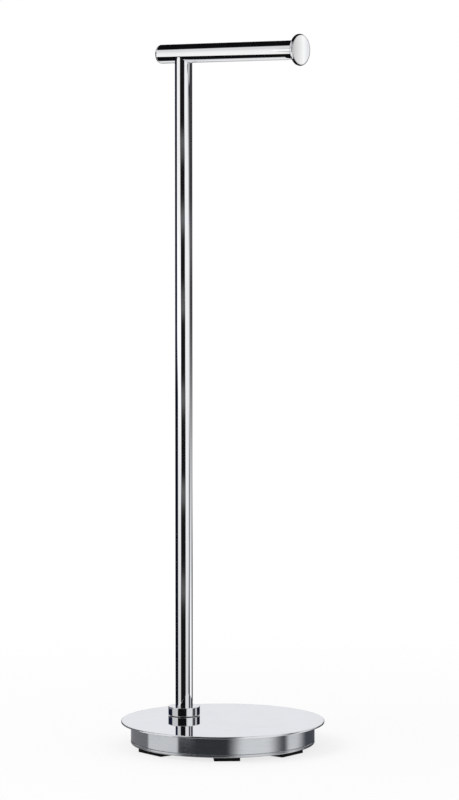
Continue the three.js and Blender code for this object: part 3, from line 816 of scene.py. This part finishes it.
screw = {"circle": 60 * mm, "count": 3, "head": 5 * mm, "shank": 2.5 * mm, "headHeight": 2.6 * mm, "length": 12 * mm,
         "rim": 0.12 * mm, "edge": 0.25 * mm, "tip": 0.6 * mm, "slot": 1.2 * mm, "slotLength": 12 * mm, "sides": 48}
pad = {
    "circle": 80.5 * mm, "width": 20 * mm, "height": 4 * mm, "corner": 1.5 * mm, "edge": 0.3 * mm, "stem": 3 * mm,
    "cornerSteps": 6, "edgeSteps": 3,
    # place round the rim, skew and length of each: one on the plane of symmetry, the others in mirrored pairs
    "layout": [(0, 0, 35.5), (49.4, 0, 26.5), (108.5, -5, 38), (154.3, 0, 34), (-154.3, 0, 34), (-108.5, 5, 38),
               (-49.4, 0, 26.5)],
}
# shallow pockets leave a rim and a few ribs to stand on; each takes about a run's length of the pad
pocket = {"run": 7.5 * mm, "ends": 3.6 * mm, "width": 15.6 * mm, "rib": 2 * mm, "depth": 0.5 * mm, "corner": 0.8 * mm,
          "cornerSteps": 3}
bottomPlate = {"radius": 95 * mm, "low": 4 * mm, "high": 7 * mm, "edge": 1 * mm, "edgeSteps": 6, "hold": 0.3 * mm,
               "chamfer": 0.3 * mm, "gap": 0.3 * mm, "sides": 256, "sinkSides": 64}


def padPlace(angle):
    return pad["circle"] * cos(radians(angle)), pad["circle"] * sin(radians(angle)), 0


def buildBottomPlate():
    out, low, high, edge, cut, gap = (bottomPlate[key] for key in ("radius", "low", "high", "edge", "chamfer", "gap"))
    rim = arcPoints((out - edge, low + edge), edge, -90, 0, bottomPlate["edgeSteps"])
    outline = ([(0, low), (out - edge - bottomPlate["hold"], low)] + rim
               + [(out, high - cut), (out - cut, high), (0, high)])
    piece = turn("bottomPlate", outline, bottomPlate["sides"])
    under, over = low - past, high + past
    for angle, skew, length in pad["layout"]:
        combine(piece, drill("stemDrill", pad["stem"] + gap, under, over, padPlace(angle)))
    head, shank, deep = screw["head"] + gap, screw["shank"] + gap, low + screw["headHeight"]
    sink = [(0, under), (head, under), (head, low), (shank, deep), (shank, over), (0, over)]
    for x, y in placesRound(screw["circle"], screw["count"]):
        combine(piece, turn("countersink", sink, bottomPlate["sinkSides"], (x, y, 0)))
    steel = brushed("bottomSteel", (0, 0, 5 * mm), fineness=900.0, low=0.22, high=0.32)
    finishPiece(piece, "base", steel, ["base_bottom_plate"], smooth=25)


def buildPadBlock(length):
    high = pad["height"]
    block = addBlock("padBlock", (pad["width"], length, high), (0, 0, high / 2))
    work(block, "EDIT")
    pick(block, "EDGE", isUpright)
    roundEdges(pad["corner"], pad["cornerSteps"])
    pick(block, "EDGE", lambda a, b: max(a.z, b.z) < hair or min(a.z, b.z) > high - hair)
    roundEdges(pad["edge"], pad["edgeSteps"])
    count = round(length / pocket["run"])
    step = (length - pocket["ends"]) / count
    for index in range(count):
        place = (0, (index - (count - 1) / 2) * step, 0)
        tread = addBlock("treadPocket", (pocket["width"], step - pocket["rib"], 2 * pocket["depth"]), place)
        work(tread, "EDIT")
        pick(tread, "EDGE", isUpright)
        roundEdges(pocket["corner"], pocket["cornerSteps"])
        combine(block, tread)
    combine(block, drill("padStem", pad["stem"], high / 2, bottomPlate["high"]), "UNION")
    return block


def buildPads():
    black = rubber("padRubber")
    lengths = sorted({length for angle, skew, length in pad["layout"]})
    blocks = {length: buildPadBlock(length * mm) for length in lengths}
    for index, (angle, skew, length) in enumerate(pad["layout"], 1):
        piece = copyOf(blocks[length], "footPad%d" % index, padPlace(angle), angle + skew)
        finishPiece(piece, "base", black, ["foot_pad_%d" % index])
    for block in blocks.values():
        bpy.data.objects.remove(block, do_unlink=True)


def buildScrews():
    low, head, shank, tip = bottomPlate["low"], screw["head"], screw["shank"], screw["tip"]
    deep, end = low + screw["headHeight"], low + screw["length"]
    outline = [(0, low), (head - screw["edge"], low), (head, low + screw["rim"]), (shank, deep), (shank, end - tip),
               (shank - tip, end), (0, end)]
    blank = turn("screwBlank", outline, screw["sides"])
    combine(blank, addBlock("slotCutter", (screw["slotLength"], screw["slot"], 2 * screw["slot"]), (0, 0, low)))
    for index, (x, y) in enumerate(placesRound(screw["circle"], screw["count"]), 1):
        piece = copyOf(blank, "bottomScrew%d" % index, (x, y, 0))
        plating = zinc("screwZinc%d" % index, (x, y, 0))
        finishPiece(piece, "base", plating, ["bottom_screw_%d" % index], smooth=25)
    bpy.data.objects.remove(blank, do_unlink=True)


footWasher = {"radius": 15 * mm, "low": 27 * mm, "high": 27.5 * mm, "chamfer": 0.1 * mm, "sides": 96}


def buildFootWasher():
    out, low, high, cut = (footWasher[key] for key in ("radius", "low", "high", "chamfer"))
    outline = [(rodHole, low), (out - cut, low), (out, low + cut), (out, high - cut), (out - cut, high),
               (rodHole, high), (rodHole, low)]
    piece = turn("footWasher", outline, footWasher["sides"], (post["x"], 0, 0))
    finishPiece(piece, "base", nylon("washerNylon", (post["x"], 0, 0)), ["foot_washer"])


# The post
collar = {"radius": 16.4 * mm, "low": 27.5 * mm, "high": 36.5 * mm, "edge": 0.4 * mm, "edgeSteps": 6,
          "hold": 0.25 * mm, "socket": 9.05 * mm, "seat": 30.5 * mm, "mouth": (0.12 * mm, 0.15 * mm), "sides": 160}


def buildCollar():
    out, low, high, edge, hold = (collar[key] for key in ("radius", "low", "high", "edge", "hold"))
    socket, seat, (wider, deeper) = collar["socket"], collar["seat"], collar["mouth"]
    bottomEdge = arcPoints((out - edge, low + edge), edge, -90, 0, collar["edgeSteps"])
    topEdge = arcPoints((out - edge, high - edge), edge, 0, 90, collar["edgeSteps"])
    wall = [(out, low + edge + hold), (out, high - edge - hold)]
    inside = [(socket + wider, high), (socket, high - deeper), (socket, seat), (rodHole, seat), (rodHole, low)]
    outline = ([(rodHole, low), (out - edge - hold, low)] + bottomEdge + wall + topEdge
               + [(out - edge - hold, high)] + inside)
    piece = turn("footCollar", outline, collar["sides"], (post["x"], 0, 0))
    shine = chrome("collarChrome", (post["x"], 0, 0), fineness=2200.0)
    finishPiece(piece, "post", shine, ["foot_collar"])


pole = {"radius": 9 * mm, "bore": 8 * mm, "low": 30.5 * mm, "chamfer": 0.2 * mm, "hold": 0.5 * mm, "seam": 0.06 * mm,
        "copeHold": 16 * mm, "copeReach": 18 * mm, "copeSides": 180, "sides": 144}
arm = {"radius": 9.75 * mm, "bore": 8.55 * mm, "rear": -28 * mm, "front": 147 * mm,  # lengths from the pole's axis
       "edge": 0.06 * mm, "hold": 0.2 * mm, "holeHold": 12 * mm, "drillReach": 14 * mm, "sides": 144}


def buildPole():
    out, bore, low, cut, top = pole["radius"], pole["bore"], pole["low"], pole["chamfer"], post["armAxis"]
    near = top - pole["copeHold"]  # a ring just under the joint keeps the long wall out of the cut
    outline = [(bore, low), (out - cut, low), (out, low + cut), (out, low + pole["hold"]), (out, near), (out, top),
               (bore, top), (bore, near), (bore, low)]
    piece = turn("poleTube", outline, pole["sides"], (post["x"], 0, 0))
    reach = pole["copeReach"]
    cope = drill("copeCutter", arm["radius"] + pole["seam"], -reach, reach, sides=pole["copeSides"])
    layAlongArm(cope)
    combine(piece, cope)
    shine = chrome("poleChrome", (post["x"], 0, 0), fineness=500.0)
    finishPiece(piece, "post", shine, ["pole_tube"])


def buildArm():
    out, bore, rear, front, edge, hold = (arm[key] for key in ("radius", "bore", "rear", "front", "edge", "hold"))
    near = arm["holeHold"]  # rings beside the rod's hole keep the long wall out of the cut
    wall = [(out, rear + hold), (out, rear + 2 * hold), (out, -near), (out, near), (out, front - 2 * hold),
            (out, front - hold)]
    back = [(bore, front), (bore, near), (bore, -near), (bore, rear)]
    piece = turn("armTube", [(bore, rear), (out - edge, rear)] + wall + [(out - edge, front)] + back, arm["sides"])
    layAlongArm(piece)
    combine(piece, drill("rodDrill", rodHole, post["armAxis"] - arm["drillReach"], post["armAxis"], (post["x"], 0, 0)))
    finishPiece(piece, "post", chrome("armChrome", armMiddle, alongArm, 500.0), ["arm_tube"])


cap = {"thick": 3 * mm, "edge": 2.5 * mm, "edgeSteps": 10, "hold": 0.3 * mm, "back": 0.02 * mm, "lip": 0.12 * mm,
       "spigot": 8.4 * mm, "spigotLength": 8 * mm, "chamfer": 0.5 * mm}


def buildCap():
    edge, spigot, cut, out, rear = cap["edge"], cap["spigot"], cap["chamfer"], arm["radius"], arm["rear"]
    head, back, deep = rear - cap["thick"], rear - cap["back"], rear + cap["spigotLength"]
    curve = arcPoints((out - edge, head + edge), edge, -90, 0, cap["edgeSteps"])
    outline = ([(0, head), (out - edge - cap["hold"], head)] + curve
               + [(out, rear - cap["lip"]), (out - arm["edge"], back), (spigot, back), (spigot, deep - cut),
                  (spigot - cut, deep), (0, deep)])
    piece = turn("rearCap", outline, arm["sides"])
    layAlongArm(piece)
    finishPiece(piece, "post", chrome("capChrome", armMiddle, alongArm), ["arm_rear_cap"])


disc = {"radius": 16 * mm, "thick": 4 * mm, "edge": 1.5 * mm, "edgeSteps": 8, "dome": 0.5 * mm, "domeSteps": 14,
        "boss": 6 * mm, "bossLength": 3 * mm, "bossEdge": 0.3 * mm, "stud": 2.8 * mm, "studSeat": 3.5 * mm,
        "sides": 180}


def buildDisc():
    edge, rise, steps = disc["edge"], disc["dome"], disc["domeSteps"]
    boss, cut, stud = disc["boss"], disc["bossEdge"], disc["stud"]
    back, rim = arm["front"], disc["radius"] - edge
    front, seat = back + disc["thick"] - rise, back - disc["bossLength"]
    backEdge = arcPoints((rim, back + edge), edge, -90, 0, disc["edgeSteps"])
    faceEdge = arcPoints((rim, front - edge), edge, 0, 90, disc["edgeSteps"])
    dome = [(rim * left / steps, front + rise * (1 - (left / steps) ** 2)) for left in reversed(range(steps))]
    outline = ([(0, seat + disc["studSeat"]), (stud, seat + disc["studSeat"]), (stud, seat), (boss - cut, seat),
                (boss, seat + cut), (boss, back), (boss + cut, back)] + backEdge + faceEdge + dome)
    piece = turn("endDisc", outline, disc["sides"])
    layAlongArm(piece)
    finishPiece(piece, "post", chrome("discChrome", armMiddle, alongArm), ["end_disc"], smooth=40)


def dressInside():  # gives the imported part's own inner pieces their finishes; those on one upright axis share theirs
    paint = castPaint("weightPaint")
    platings = {}
    for name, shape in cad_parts.items():
        if shape.hide_render:
            continue
        low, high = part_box(name)
        middle = (low + high) / 2
        if name == "base_weight":
            look = paint
        elif name in ("arm_cross_nut", "arm_front_plug", "end_disc_stud"):
            look = zinc(name + "_zinc", (middle.x, 0, post["armAxis"]), alongArm)
        else:
            axis = (middle.x // mm, middle.y // mm)
            platings[axis] = platings.get(axis) or zinc("zinc_%d" % len(platings), (middle.x, middle.y, 0))
            look = platings[axis]
        shape.data.materials.clear()
        shape.data.materials.append(look)
    say("inner pieces dressed")


setCamera()
buildSky()
buildFloor()
setLamp()
hangCards()
buildTopPlate()
buildSkirt()
buildBottomPlate()
buildPads()
buildScrews()
buildFootWasher()
say("base built")
buildCollar()
buildPole()
buildArm()
buildCap()
buildDisc()
say("post built")
dressInside()
